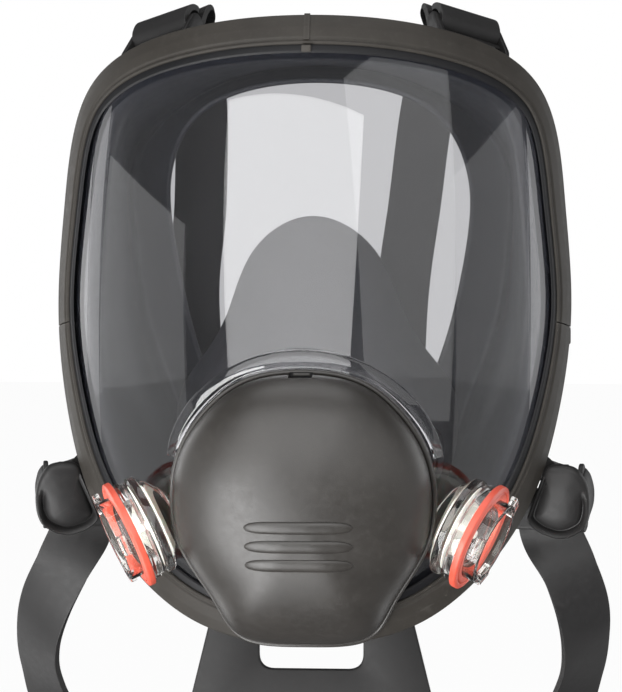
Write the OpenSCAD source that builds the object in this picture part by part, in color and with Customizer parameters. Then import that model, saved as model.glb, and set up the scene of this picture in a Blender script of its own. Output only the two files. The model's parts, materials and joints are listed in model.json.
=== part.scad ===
// Full face respirator with a wide lens, two cartridge ports and a rubber head harness.
// +X is to the viewer's right, -Y is the front, +Z is up. The origin lies on the plane
// of the face opening, level with the screws that join the two halves of the frame.

/* [Lens] */
// Radius of the lens across its width
lens_rh = 100; // [98:1:115]
// Radius of the lens over its height
lens_rv = 260; // [240:5:320]
// Distance from the face opening to the front of the lens
lens_depth = 98; // [96:1:102]
// Thickness of the lens
lens_t = 2.5; // [2:0.1:3]

/* [Frame] */
// Width of the frame band over the lens edge
band_w = 12; // [10:0.5:13]
// Depth of the frame channel behind the lens surface
band_d = 9; // [8.5:0.5:10]

/* [Cartridge ports] */
// Radius of the bore that the cartridge spigot enters
port_r = 12; // [11:0.5:12]
// Outer radius of the sealing ring
gasket_r = 19; // [18.5:0.5:19.5]

/* [Centre cover] */
// How far the cover stands out from the lens
cover_h = 25; // [22:1:27]

/* [Harness] */
// Width of the straps
strap_w = 20; // [18:1:21]
// Thickness of the straps
strap_t = 2.4; // [2:0.2:3]

/* [Hidden] */
$fn = 48;
steps = 56;
channel_wall = 1.9;
seal_t = 2.2;
cup_t = 2;
cover_t = 2;
lens_top_z = -10;

// Half outlines, from the top centre down the right side to the bottom centre, as spline poles
frame_poles = [[0, 108.5], [44.5, 105.5], [85.5, 91], [88.5, 41.5], [92.5, 5], [86.5, -34],
    [76, -69.5], [42.5, -106], [0, -110.5]];
fold_poles = [[0, 97], [38.5, 91], [75, 65.5], [72, 29.5], [70, 0], [55, -34], [52, -48],
    [34, -84], [0, -92]];
window_poles = [[0, 91], [44, 83], [57, 57.5], [57.5, 38], [53, 12.5], [47.5, -10], [36.5, -36],
    [26.5, -62], [0, -74]];
cover_poles = [[0, -14.5], [21, -17], [34.5, -29], [43.5, -41], [46, -58], [43.5, -76], [30, -93.5],
    [25, -110], [0, -109]];
cup_poles = [[0, 42], [23, 27], [29, 4], [39, -12.5], [52, -25.5], [48, -56], [33, -76], [6, -82],
    [0, -81]];

// Where the frame halves meet, and the lugs and screws that join them there
split_u = 4.134;
lug = band_point(split_u, 0, 0);
lug_turn = -24;
screw_r = 1.5;
screw_at = [-4.7, 4.2];

// The centre adapter, which holds the exhalation valve and the speaking diaphragm
adapter_z = -57;
adapter_r = 33;
aperture_r = 36;
adapter_tilt = asin((lens_top_z - adapter_z) / lens_rv);
diaphragm_at = [0, 18.5];
diaphragm_r = 9.5;
valve_at = [0, -11.5];
valve_r = 14;

// The cartridge ports
port_at = [58.5, -91, -69.5];
port_axis = [0.87, -0.27, -0.41];
port_foot = [54.5, -63.5];
port_well = 0.2;

// Inhalation valves in the nose cup
cup_valve_at = [36, -52, -46];
cup_valve_axis = [0.9, -0.38, 0.2];
cup_valve_r = 9;

// The harness: where each buckle's pin is, how it is turned and where its anchor sits
upper_pin = [56.5, -39.5, 98.5];
upper_turn = [-49, 13, 28];
upper_seat = 1.4;
upper_tail = 8;
lower_pin = [83, -46, -52];
lower_turn = [200, 0, -12];
lower_seat = 5.25;
lower_tail = 12;
anchor_l = 17;
buckle_in = 11.4;
buckle_out = 13.8;
wrap_w = 21;
bar_at = 12;
pin_r = 1.25;
bar_r = 2.4;
wrap_r = bar_r + strap_t / 2 + 0.45;
wrap_n = 10;
cradle_x = -4.5;
cradle_y = 18;

// ---- Curves and surfaces ----

function unit(v) = v / norm(v);
function mix(a, b, t) = a + (b - a) * t;

// A closed outline from the poles of its right half
function closed_poles(half) =
    concat(half, [for (i = [len(half) - 2:-1:1]) [-half[i][0], half[i][1]]]);

// A point of a closed uniform cubic spline, with u counted in poles
function spline(poles, u) =
    let (n = len(poles), i = floor(u), t = u - i, p = [for (k = [-1:2]) poles[(i + k + 2 * n) % n]])
    (pow(1 - t, 3) * p[0] + (3 * t * t * t - 6 * t * t + 4) * p[1]
        + (-3 * t * t * t + 3 * t * t + 3 * t + 1) * p[2] + t * t * t * p[3]) / 6;

// A point of an open curve through its own points
function route(points, s) =
    let (n = len(points) - 1, u = min(s * n, n - 0.0001), i = floor(u), t = u - i,
        p = [for (k = [-1:2]) points[max(0, min(n, i + k))]])
    0.5 * (2 * p[1] + (p[2] - p[0]) * t + (2 * p[0] - 5 * p[1] + 4 * p[2] - p[3]) * t * t
        + (3 * p[1] - p[0] - 3 * p[2] + p[3]) * t * t * t);

// Depth, point and outward normal of the lens surface
function lens_y(x, z) = lens_rh - sqrt(lens_rh * lens_rh - x * x)
    + lens_rv - sqrt(lens_rv * lens_rv - pow(z - lens_top_z, 2)) - lens_depth;
function lens_point(p) = [p[0], lens_y(p[0], p[1]), p[1]];
function lens_normal(p) = unit([p[0] / sqrt(lens_rh * lens_rh - p[0] * p[0]), -1,
    (p[1] - lens_top_z) / sqrt(lens_rv * lens_rv - pow(p[1] - lens_top_z, 2))]);

// A point of the frame's section: b inward over the lens from the outline, n out from the lens
function band_point(u, b, n) =
    let (poles = closed_poles(frame_poles), p = spline(poles, u), q = spline(poles, u + 0.05),
        normal = lens_normal(p), along = unit(lens_point(q) - lens_point(p)),
        inward = unit(cross(along, normal)))
    lens_point(p) + b * inward + n * normal;

// The edge of the lens and of its aperture, where u runs over the frame's 16 poles
function lens_edge(u) = let (p = band_point(u, 2.9, 0)) [p[0], p[2]];
function lens_hole(u) = [0, adapter_z] + (aperture_r + 1) * [sin(u * 22.5), cos(u * 22.5)];

// ---- Solids from grids of points ----

function grid_at(g, i, j) = g[(i + len(g)) % len(g)][max(0, min(len(g[0]) - 1, j))];
function grid_normal(g, i, j) = unit(cross(grid_at(g, i + 1, j) - grid_at(g, i - 1, j),
    grid_at(g, i, j + 1) - grid_at(g, i, j - 1)));

// A shell on a grid that closes on itself along its first index; a capped shell has its
// first ring filled in
module shell(g, outer, inner, capped = false) {
    n = len(g);
    m = len(g[0]);
    points = concat(
        [for (i = [0:n - 1], j = [0:m - 1]) g[i][j] + outer * grid_normal(g, i, j)],
        [for (i = [0:n - 1], j = [0:m - 1]) g[i][j] + inner * grid_normal(g, i, j)]);
    function at(side, i, j) = side * n * m + (i % n) * m + j;
    skin = [for (i = [0:n - 1], j = [0:m - 2], side = [0, 1])
        let (a = at(side, i, j), b = at(side, i, j + 1), c = at(side, i + 1, j + 1),
            d = at(side, i + 1, j))
        each (side == 0 ? [[a, b, c], [a, c, d]] : [[a, c, b], [a, d, c]])];
    caps = capped ? [[for (i = [0:n - 1]) at(0, i, 0)], [for (i = [n - 1:-1:0]) at(1, i, 0)]] : [];
    rims = [for (i = [0:n - 1], j = capped ? [m - 1] : [0, m - 1])
        let (a = at(0, i, j), b = at(0, i + 1, j), c = at(1, i + 1, j), d = at(1, i, j))
        each (j == 0 ? [[a, b, c], [a, c, d]] : [[a, c, b], [a, d, c]])];
    polyhedron(points, concat(skin, rims, caps), convexity = 8);
}

// A solid swept through rings of points; closed rings, open ends
module sweep(rings) {
    n = len(rings);
    m = len(rings[0]);
    sides = [for (i = [0:n - 2], j = [0:m - 1])
        let (a = i * m + j, b = i * m + (j + 1) % m, c = a + m, d = b + m)
        each [[a, d, b], [a, c, d]]];
    polyhedron([for (r = rings) each r],
        concat(sides, [[for (j = [0:m - 1]) j]], [[for (j = [m - 1:-1:0]) (n - 1) * m + j]]),
        convexity = 8);
}

// A flat strap along a route, with a width direction for each point of the route
module strap(points, wide, w0, w1, rings) {
    sweep([for (k = [0:rings])
        let (s = k / rings, p = route(points, s), q = route(points, s + 0.01),
            r = route(points, s - 0.01 < 0 ? 0 : s - 0.01), along = unit(q - r),
            side0 = route(wide, s), side = unit(side0 - (side0 * along) * along),
            thick = cross(along, side), w = mix(w0, w1, s) / 2, t = strap_t / 2)
        [p - w * side - t * thick, p + w * side - t * thick,
            p + w * side + t * thick, p - w * side + t * thick]]);
}

// Places: the left or right side, the adapter's axis, a port's axis, a nose cup valve's
// axis and a buckle's pin
module on_side(side) {
    mirror([side < 0 ? 1 : 0, 0, 0])
        children();
}

module at_adapter() {
    translate([0, lens_y(0, adapter_z), adapter_z])
        rotate([90 + adapter_tilt, 0, 0])
            children();
}

module along_axis(v) {
    rotate([0, acos(unit(v)[2]), atan2(v[1], v[0])])
        children();
}

module at_port(side) {
    on_side(side)
        translate(port_at)
            along_axis(port_axis)
                children();
}

module at_cup_valve(side) {
    on_side(side)
        translate(cup_valve_at)
            along_axis(cup_valve_axis)
                children();
}

module at_buckle(side, pin, turn) {
    on_side(side)
        translate(pin)
            rotate(turn)
                children();
}

module ring(r_out, r_in, h) {
    difference() {
        cylinder(r = r_out, h = h);
        translate([0, 0, -1])
            cylinder(r = r_in, h = h + 2);
    }
}

// A bar along X
module bar(r, l) {
    translate([-l / 2, 0, 0])
        rotate([0, 90, 0])
            cylinder(r = r, h = l);
}

// ---- Lens and frame ----

module lens() {
    spread = [0, 0.14, 0.32, 0.5, 0.66, 0.8, 0.91, 1];
    grid = [for (i = [0:steps - 1])
        let (u = i * 16 / steps)
        [for (s = spread) lens_point(mix(lens_hole(u), lens_edge(u), s))]];
    color([0.85, 0.88, 0.9, 0.35])
        difference() {
            union() {
                shell(grid, 0, -lens_t);
                at_adapter()
                    translate([0, 0, -13])
                        ring(aperture_r + 2.5, aperture_r, 14);
            }
            for (side = [-1, 1])
                port_root(side, 0.2);
        }
}

module frame_half(from, to, count) {
    section = [[0.6, -band_d], [0, -band_d + 0.8], [0, 1], [0.8, channel_wall],
        [band_w - 1.2, channel_wall], [band_w, 1.1], [band_w, 0.3], [2.2, 0.3], [2.2, -band_d + 1.9],
        [band_w - 3, -band_d + 1.9], [band_w - 3, -band_d]];
    sweep([for (k = [0:count])
        [for (s = section) band_point(mix(from, to, k / count), s[0], s[1])]]);
}

module frame_lugs(low, high) {
    for (side = [0, 1])
        mirror([side, 0, 0])
            translate([lug[0], lug[1], 0])
                rotate([0, 0, lug_turn])
                    difference() {
                        translate([-8, -0.5, low])
                            cube([6.6, 8.4, high - low]);
                        translate([screw_at[0], screw_at[1], low - 1])
                            cylinder(r = screw_r + 0.1, h = high - low + 2);
                    }
}

module upper_frame() {
    color([0.38, 0.35, 0.32])
        union() {
            frame_half(-split_u, split_u, 34);
            frame_lugs(-0.2, 7);
        }
}

module lower_frame() {
    color([0.36, 0.33, 0.31])
        union() {
            frame_half(split_u + 0.01, 16 - split_u - 0.01, 34);
            frame_lugs(-7, -0.9);
        }
}

module at_lug_screws() {
    for (side = [0, 1])
        mirror([side, 0, 0])
            translate([lug[0], lug[1], 0])
                rotate([0, 0, lug_turn])
                    translate([screw_at[0], screw_at[1], 0])
                        children();
}

module frame_screws() {
    color([0.6, 0.6, 0.62])
        at_lug_screws() {
            translate([0, 0, -7])
                cylinder(r = screw_r, h = 17);
            difference() {
                translate([0, 0, -9])
                    cylinder(r = 2.8, h = 2);
                translate([-2, -0.3, -10])
                    cube([4, 0.6, 1.8]);
            }
        }
}

module frame_nuts() {
    color([0.6, 0.6, 0.62])
        at_lug_screws()
            translate([0, 0, 7])
                difference() {
                    cylinder(r = 3, h = 2.2, $fn = 6);
                    translate([0, 0, -1])
                        cylinder(r = screw_r + 0.03, h = 5);
                }
}

// ---- Face seal and nose cup ----

function seal_back(x, z) = 10 - (z > 0 ? 30 : 24) * pow(z / 95, 2);

module face_seal() {
    fold = closed_poles(fold_poles);
    window = closed_poles(window_poles);
    grid = [for (i = [0:steps - 1])
        let (u = i * 16 / steps, f = spline(fold, u), w = spline(window, u),
            held = band_point(u, 3.6, -4.9), leave = band_point(u, band_w - 1.4, -4.9),
            past = band_point(u, band_w - 1.5, -10.8), yf = seal_back(f[0], f[1]),
            crease = [f[0], yf, f[1]], edge = [w[0], yf - 7, w[1]])
        [held, leave, past, mix(past, crease, 0.35), mix(past, crease, 0.7),
            mix(leave, crease, 0.93), mix(crease, edge, 0.12) + [0, 2, 0],
            mix(crease, edge, 0.5) + [0, 2.2, 0], mix(crease, edge, 0.8) + [0, 1, 0], edge]];
    color([0.36, 0.36, 0.4])
        shell(grid, seal_t / 2, -seal_t / 2);
}

// A ring on the adapter's axis, as points
function adapter_point(r, angle, h) =
    let (x = r * sin(angle), up = r * cos(angle))
    [x, lens_y(0, adapter_z) - h * cos(adapter_tilt) - up * sin(adapter_tilt),
        adapter_z - h * sin(adapter_tilt) + up * cos(adapter_tilt)];

function cup_rear(p) = [p[0], -17 - (p[1] > -20 ? 0.4 * (p[1] + 20) : 0.1 * (-20 - p[1])), p[1]];

module nose_cup() {
    poles = closed_poles(cup_poles);
    grid = [for (i = [0:steps - 1])
        let (u = i * 16 / steps, front = adapter_point(35.8, u * 22.5, -17.6),
            grip = adapter_point(35.8, u * 22.5, -22), rear = cup_rear(spline(poles, u)),
            knee = mix(grip, rear, 0.35) + 3 * unit([grip[0], 0, grip[2] - adapter_z]))
        [front, grip, mix(grip, knee, 0.5), knee, mix(knee, rear, 0.35), mix(knee, rear, 0.7), rear,
            mix(rear, [0, rear[1], -30], 0.06) + [0, 1, 0]]];
    color([0.58, 0.58, 0.6])
        difference() {
            shell(grid, cup_t, 0);
            for (side = [-1, 1])
                at_cup_valve(side)
                    translate([0, 0, -12])
                        cylinder(r = cup_valve_r, h = 24);
        }
}

module nose_valve_seat(side) {
    color([0.2, 0.2, 0.22])
        at_cup_valve(side) {
            translate([0, 0, -4])
                ring(cup_valve_r - 0.05, cup_valve_r - 1.6, 9);
            difference() {
                union() {
                    for (a = [0, 60, 120])
                        rotate(a)
                            translate([-(cup_valve_r - 1.2), -0.7, -1])
                                cube([2 * (cup_valve_r - 1.2), 1.4, 1.5]);
                    translate([0, 0, -1])
                        cylinder(r = 2.4, h = 1.5);
                }
                translate([0, 0, -3])
                    cylinder(r = 1.05, h = 6);
            }
        }
}

module nose_valve_flap(side) {
    color([0.85, 0.85, 0.82])
        at_cup_valve(side) {
            translate([0, 0, -1.9])
                cylinder(r = cup_valve_r - 2, h = 0.8);
            translate([0, 0, -1.5])
                cylinder(r = 1, h = 4.5);
            translate([0, 0, 2.6])
                cylinder(r = 1.6, h = 1);
        }
}

// ---- Centre adapter, valve and cover ----

module on_web(at) {
    translate([at[0], at[1], 0])
        children();
}

module centre_adapter() {
    color([0.25, 0.25, 0.27])
        at_adapter()
            difference() {
                union() {
                    translate([0, 0, -20])
                        ring(aperture_r - 0.3, adapter_r, 22.5);
                    translate([0, 0, 2.2])
                        ring(aperture_r + 2.5, adapter_r, 2.4);
                    translate([0, 0, -2])
                        cylinder(r = adapter_r + 1, h = 3);
                }
                on_web(diaphragm_at)
                    translate([0, 0, -4])
                        cylinder(r = diaphragm_r, h = 10);
                on_web(valve_at)
                    translate([0, 0, -4])
                        cylinder(r = valve_r, h = 10);
            }
}

module adapter_gasket() {
    color([0.12, 0.12, 0.12])
        at_adapter()
            translate([0, 0, 1.05])
                ring(aperture_r + 2.4, aperture_r - 0.1, 1.1);
}

module adapter_ring() {
    color([0.15, 0.15, 0.16])
        at_adapter()
            translate([0, 0, -17.3])
                difference() {
                    cylinder(r = aperture_r + 2.8, h = 4.1);
                    translate([0, 0, -1])
                        cylinder(r = aperture_r - 0.2, h = 7);
                    for (a = [0:30:330])
                        rotate(a)
                            translate([aperture_r + 3.4, 0, -1])
                                cylinder(r = 1.4, h = 7);
                }
}

module speaking_diaphragm() {
    color([0.8, 0.8, 0.78])
        at_adapter()
            on_web(diaphragm_at)
                translate([0, 0, 1.05])
                    cylinder(r = diaphragm_r + 1, h = 0.5);
}

module diaphragm_ring() {
    color([0.15, 0.15, 0.16])
        at_adapter()
            on_web(diaphragm_at)
                translate([0, 0, 1.6])
                    difference() {
                        cylinder(r = diaphragm_r + 1.8, h = 2);
                        for (a = [0:60:300])
                            rotate(a)
                                translate([5.6, 0, -1])
                                    cylinder(r = 2.2, h = 4);
                        translate([0, 0, -1])
                            cylinder(r = 2, h = 4);
                    }
}

module exhale_valve_seat() {
    color([0.2, 0.2, 0.22])
        at_adapter()
            on_web(valve_at)
                difference() {
                    union() {
                        translate([0, 0, -2])
                            ring(valve_r - 0.05, valve_r - 1.8, 3.5);
                        translate([0, 0, 1.05])
                            ring(valve_r + 2, valve_r - 1.8, 1.4);
                        for (a = [0, 60, 120])
                            rotate(a)
                                translate([-(valve_r - 1), -0.8, -0.5])
                                    cube([2 * (valve_r - 1), 1.6, 2]);
                        translate([0, 0, -0.5])
                            cylinder(r = 3, h = 2.4);
                    }
                    translate([0, 0, -3])
                        cylinder(r = 1.55, h = 8);
                }
}

module exhale_flap() {
    color([0.85, 0.85, 0.82])
        at_adapter()
            on_web(valve_at) {
                translate([0, 0, 2.5])
                    cylinder(r = valve_r + 0.6, h = 0.9);
                translate([0, 0, -3])
                    cylinder(r = 1.5, h = 6);
                translate([0, 0, -4.5])
                    cylinder(r = 2.1, h = 1.5);
            }
}

// The cover's rim stands on the lens, and lower down it steps up over the frame band
function cover_rim_y(e) = lens_y(e[0], e[1]) - 1.7 - 2.4 * max(0, min(1, (-86 - e[1]) / 8));

module centre_cover() {
    poles = closed_poles(cover_poles);
    centre = [0, -60];
    grid = [for (i = [0:steps - 1])
        let (e = spline(poles, i * 16 / steps))
        concat([for (a = [2, 16, 30, 43, 55, 66, 76, 84])
            let (p = mix(centre, e, 0.965 * sin(a) / sin(84)), h = cover_h * pow(cos(a), 0.7))
            [p[0], lens_y(0, p[1]) - 1.5 - h, p[1]]],
            [[e[0], min(lens_y(0, e[1]) - 3, cover_rim_y(e) - 2), e[1]], [e[0], cover_rim_y(e), e[1]]])];
    color([0.42, 0.4, 0.37])
        difference() {
            shell(grid, 0, -cover_t, capped = true);
            translate([-4, -130, -16.4])
                cube([8, 40, 1.6]);
        }
}

// ---- Cartridge ports ----

// The root of a port, which leans from the lens to the angled head
module port_root(side, grow) {
    hull() {
        at_port(side)
            translate([0, 0, -8])
                cylinder(r = gasket_r - 3.2 + grow, h = 1);
        on_side(side)
            translate(lens_point(port_foot))
                along_axis(lens_normal(port_foot))
                    translate([0, 0, -4 - grow])
                        cylinder(r = 8.4 + grow, h = 4 + grow);
    }
    at_port(side)
        translate([0, 0, -9 - grow])
            cylinder(r = gasket_r - 1.4 + grow, h = 9 + grow);
}

module port_body(side) {
    color([0.9, 0.9, 0.85, 0.45])
        difference() {
            union() {
                port_root(side, 0);
                at_port(side) {
                    translate([0, 0, -1])
                        cylinder(r = port_r + 2.4, h = 8);
                    for (a = [0, 120, 240])
                        rotate(a + 30)
                            translate([port_r + 1, -3.5, 4.4])
                                cube([4.2, 7, 2.4]);
                }
            }
            on_side(side)
                translate(lens_point(port_foot))
                    along_axis(lens_normal(port_foot))
                        translate([0, 0, -8])
                            cylinder(r = 6.8, h = 13);
            at_port(side) {
                translate([0, 0, -port_well])
                    cylinder(r = port_r, h = 10);
                translate([0, 0, -4])
                    cylinder(r = port_r - 1, h = 5);
                translate([0, 0, -10.5])
                    cylinder(r = port_r - 1, h = 5);
                for (a = [0:60:300])
                    rotate(a)
                        translate([6.4, 0, -7])
                            cylinder(r = 2.6, h = 4);
                translate([0, 0, -7])
                    cylinder(r = 1.25, h = 4);
            }
        }
}

module port_gasket(side) {
    color([0.8, 0.22, 0.15])
        at_port(side)
            translate([0, 0, 0.05])
                difference() {
                    cylinder(r = gasket_r, h = 2.6);
                    translate([0, 0, -1])
                        cylinder(r = port_r + 2.45, h = 5);
                    translate([0, 0, 2])
                        ring(gasket_r - 1.6, gasket_r - 2.6, 2);
                }
}

module inhale_flap(side) {
    color([0.85, 0.85, 0.82])
        at_port(side) {
            translate([0, 0, -6.6])
                cylinder(r = port_r - 2, h = 0.9);
            translate([0, 0, -6])
                cylinder(r = 1.2, h = 5);
            translate([0, 0, -1.9])
                cylinder(r = 1.9, h = 1);
        }
}

// ---- Buckles ----

// A vector turned as rotate() turns a solid
function turned(v, t) =
    let (a = [v[0], v[1] * cos(t[0]) - v[2] * sin(t[0]), v[1] * sin(t[0]) + v[2] * cos(t[0])],
        b = [a[0] * cos(t[1]) + a[2] * sin(t[1]), a[1], -a[0] * sin(t[1]) + a[2] * cos(t[1])])
    [b[0] * cos(t[2]) - b[1] * sin(t[2]), b[0] * sin(t[2]) + b[1] * cos(t[2]), b[2]];

module anchor(side, pin, turn, seat) {
    color([0.2, 0.19, 0.18])
        difference() {
            on_side(side)
                hull() {
                    translate(pin)
                        rotate(turn)
                            bar(3, anchor_l);
                    for (du = [-0.17, 0.17], b = [0, 0.8], n = [-6.5, -1.5])
                        translate(band_point(seat + du, b, n))
                            cube(0.2, center = true);
                }
            at_buckle(side, pin, turn)
                bar(pin_r + 0.03, 2 * anchor_l);
        }
}

module buckle_pin(side, pin, turn) {
    color([0.65, 0.65, 0.66])
        at_buckle(side, pin, turn)
            bar(pin_r, 2 * buckle_out);
}

// The outline of the lower buckles' face, across the buckle and along it
face_outline = [[1.8, -5.6], [7, -6.2], [12.5, -5], [15.8, 0.5], [16.8, 7], [16.3, 13], [14.5, 18],
    [9, 21.4], [4, 22], [-2.5, 19.5], [-6.5, 15.5]];

// Cheeks on the pin, joined by a cross bar; the lower buckles are longer and have a face plate
module buckle(side, pin, turn, face) {
    front = face ? 6 : 5;
    length = face ? 22 : 17;
    cross_z = face ? 19.4 : 3.7;
    color([0.16, 0.16, 0.17])
        at_buckle(side, pin, turn)
            difference() {
                union() {
                    for (x = [-buckle_out, buckle_in])
                        translate([x, 0, 0]) {
                            translate([0, -3.4, 0])
                                cube([buckle_out - buckle_in, 3.4 + front, length]);
                            rotate([0, 90, 0])
                                cylinder(r = 3.4, h = buckle_out - buckle_in);
                        }
                    translate([-buckle_out, face ? -2.2 : -1.4, cross_z])
                        cube([2 * buckle_out, face ? 4.2 : 2.8, face ? 2.6 : 2.2]);
                    if (face)
                        translate([0, front + 2.2, 0])
                            rotate([90, 0, 0])
                                linear_extrude(2.4)
                                    polygon(face_outline);
                }
                bar(pin_r + 0.06, 2 * buckle_out + 2);
                translate([0, 0, bar_at])
                    bar(1.55, 2 * buckle_in + 2.6);
            }
}

module strap_bar(side, pin, turn) {
    color([0.12, 0.12, 0.12])
        at_buckle(side, pin, turn)
            translate([0, 0, bar_at]) {
                bar(1.5, 2 * buckle_in + 2);
                bar(bar_r, 2 * buckle_in - 0.6);
            }
}

// ---- Harness ----

// The end of a strap: a tail, then a turn round the bar. y is across the buckle
function wrap(pin, turn, tail_side, tail_l) =
    let (tail = [[-4.6, bar_at + tail_l], [-4.3, bar_at + tail_l / 2]],
        fold = [for (a = [-90:36:90]) [wrap_r * sin(a), bar_at - wrap_r * cos(a)]],
        lead = [[wrap_r, bar_at + 7], [wrap_r + 0.4, bar_at + 15]])
    [for (q = concat(tail, fold, lead)) pin + turned([0, tail_side * q[0], q[1]], turn)];

module upper_strap(side) {
    lean = side < 0 ? [50, 46.5, 47.5, 50.4, 44, 30 - cradle_x]
        : [49, 40.5, 35, 30, 28, 30 + cradle_x];
    across = turned([1, 0, 0], upper_turn);
    color([0.3, 0.28, 0.29])
        on_side(side)
            strap(concat(wrap(upper_pin, upper_turn, 1, upper_tail),
                [[lean[0], -4, 106], [lean[1], 12, 84], [lean[2], 20, 45], [lean[3], 21, 5],
                    [lean[4], 20, -60], [lean[5], cradle_y + 1, -112]]),
                concat([for (k = [1:wrap_n]) across], [for (k = lean) [1, 0, 0]]), wrap_w, strap_w, 46);
}

module lower_strap(side) {
    across = turned([1, 0, 0], lower_turn);
    sway = side * cradle_x;
    color([0.33, 0.31, 0.3])
        on_side(side)
            strap(concat(wrap(lower_pin, lower_turn, -1, lower_tail),
                [[92, -33, -88], [98.5 + 0.3 * sway, -26, -103], [101.5 + 0.6 * sway, -18, -117],
                    [101 + 0.8 * sway, -9, -131], [95 + sway, 2, -149], [78 + sway, 12, -164],
                    [60 + sway, 16, -166], [44 + sway, cradle_y, -158]]),
                concat([for (k = [1:wrap_n]) across],
                    [[0.98, 0.05, 0.1], [0.9, 0.35, 0.05], [0.78, 0.6, 0], [0.7, 0.68, -0.1],
                        [0.6, 0.6, -0.5], [0.3, 0.25, -0.85], [0, 0, -1], [0, 0, -1]]),
                wrap_w, strap_w, 48);
}

module head_cradle() {
    color([0.27, 0.26, 0.26])
        translate([cradle_x, cradle_y + strap_t / 2, 0])
            rotate([90, 0, 0])
                linear_extrude(strap_t)
                    difference() {
                        hull() {
                            for (side = [-1, 1]) {
                                translate([side * 30, -114])
                                    circle(r = 8);
                                translate([side * 43, -162])
                                    circle(r = 9);
                            }
                        }
                        hull()
                            for (side = [-1, 1], z = [-122, -129])
                                translate([side * 15, z])
                                    circle(r = 5);
                    }
}

lens();
upper_frame();
lower_frame();
frame_screws();
frame_nuts();
face_seal();
nose_cup();
nose_valve_seat(-1);  // nose_valve_seat_left
nose_valve_seat(1);  // nose_valve_seat_right
nose_valve_flap(-1);  // nose_valve_flap_left
nose_valve_flap(1);  // nose_valve_flap_right
centre_adapter();
adapter_gasket();
adapter_ring();
speaking_diaphragm();
diaphragm_ring();
exhale_valve_seat();
exhale_flap();
centre_cover();
port_body(-1);  // port_body_left
port_body(1);  // port_body_right
port_gasket(-1);  // port_gasket_left
port_gasket(1);  // port_gasket_right
inhale_flap(-1);  // inhale_flap_left
inhale_flap(1);  // inhale_flap_right
head_cradle();
upper_strap(-1);  // upper_strap_left
upper_strap(1);  // upper_strap_right
lower_strap(-1);  // lower_strap_left
lower_strap(1);  // lower_strap_right
anchor(-1, upper_pin, upper_turn, upper_seat);  // upper_anchor_left
anchor(1, upper_pin, upper_turn, upper_seat);  // upper_anchor_right
anchor(-1, lower_pin, lower_turn, lower_seat);  // lower_anchor_left
anchor(1, lower_pin, lower_turn, lower_seat);  // lower_anchor_right
buckle_pin(-1, upper_pin, upper_turn);  // upper_pin_left
buckle_pin(1, upper_pin, upper_turn);  // upper_pin_right
buckle_pin(-1, lower_pin, lower_turn);  // lower_pin_left
buckle_pin(1, lower_pin, lower_turn);  // lower_pin_right
buckle(-1, upper_pin, upper_turn, false);  // upper_buckle_left
buckle(1, upper_pin, upper_turn, false);  // upper_buckle_right
buckle(-1, lower_pin, lower_turn, true);  // lower_buckle_left
buckle(1, lower_pin, lower_turn, true);  // lower_buckle_right
strap_bar(-1, upper_pin, upper_turn);  // upper_strap_bar_left
strap_bar(1, upper_pin, upper_turn);  // upper_strap_bar_right
strap_bar(-1, lower_pin, lower_turn);  // lower_strap_bar_left
strap_bar(1, lower_pin, lower_turn);  // lower_strap_bar_right
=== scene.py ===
"""Full face respirator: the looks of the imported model, in metres, in the model's own frame.

+X is to the viewer's right, -Y is the front and +Z is up. Shapes are worked out in
millimetres from the dimensions below and turned into metres when a piece is made.
"""

import json
import math

import bmesh
import bpy
import numpy as np
from mathutils import Matrix, Vector
from mathutils.bvhtree import BVHTree


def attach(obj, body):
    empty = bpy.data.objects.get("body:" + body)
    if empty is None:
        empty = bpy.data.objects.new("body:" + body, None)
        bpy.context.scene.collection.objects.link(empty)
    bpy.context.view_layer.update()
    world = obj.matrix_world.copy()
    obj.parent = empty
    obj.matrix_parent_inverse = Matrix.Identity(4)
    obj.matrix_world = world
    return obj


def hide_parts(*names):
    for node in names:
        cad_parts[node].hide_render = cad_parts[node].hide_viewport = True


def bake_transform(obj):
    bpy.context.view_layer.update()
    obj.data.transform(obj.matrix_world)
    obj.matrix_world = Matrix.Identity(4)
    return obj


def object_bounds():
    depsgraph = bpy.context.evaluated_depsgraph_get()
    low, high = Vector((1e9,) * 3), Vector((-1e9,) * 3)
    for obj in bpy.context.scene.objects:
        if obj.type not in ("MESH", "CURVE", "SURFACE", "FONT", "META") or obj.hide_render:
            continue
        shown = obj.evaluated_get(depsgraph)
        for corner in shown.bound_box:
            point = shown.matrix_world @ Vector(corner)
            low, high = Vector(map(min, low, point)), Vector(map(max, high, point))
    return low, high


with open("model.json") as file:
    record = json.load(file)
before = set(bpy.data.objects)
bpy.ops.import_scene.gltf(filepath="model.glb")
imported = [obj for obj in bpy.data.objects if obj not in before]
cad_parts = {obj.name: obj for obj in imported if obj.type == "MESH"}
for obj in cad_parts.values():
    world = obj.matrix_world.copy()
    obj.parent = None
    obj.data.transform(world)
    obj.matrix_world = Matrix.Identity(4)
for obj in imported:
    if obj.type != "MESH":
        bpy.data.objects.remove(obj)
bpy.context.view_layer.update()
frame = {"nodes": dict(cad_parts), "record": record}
MM = 0.001
SIDES = {"left": -1, "right": 1}

# ---- Dimensions of the model, in millimetres ----

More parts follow.
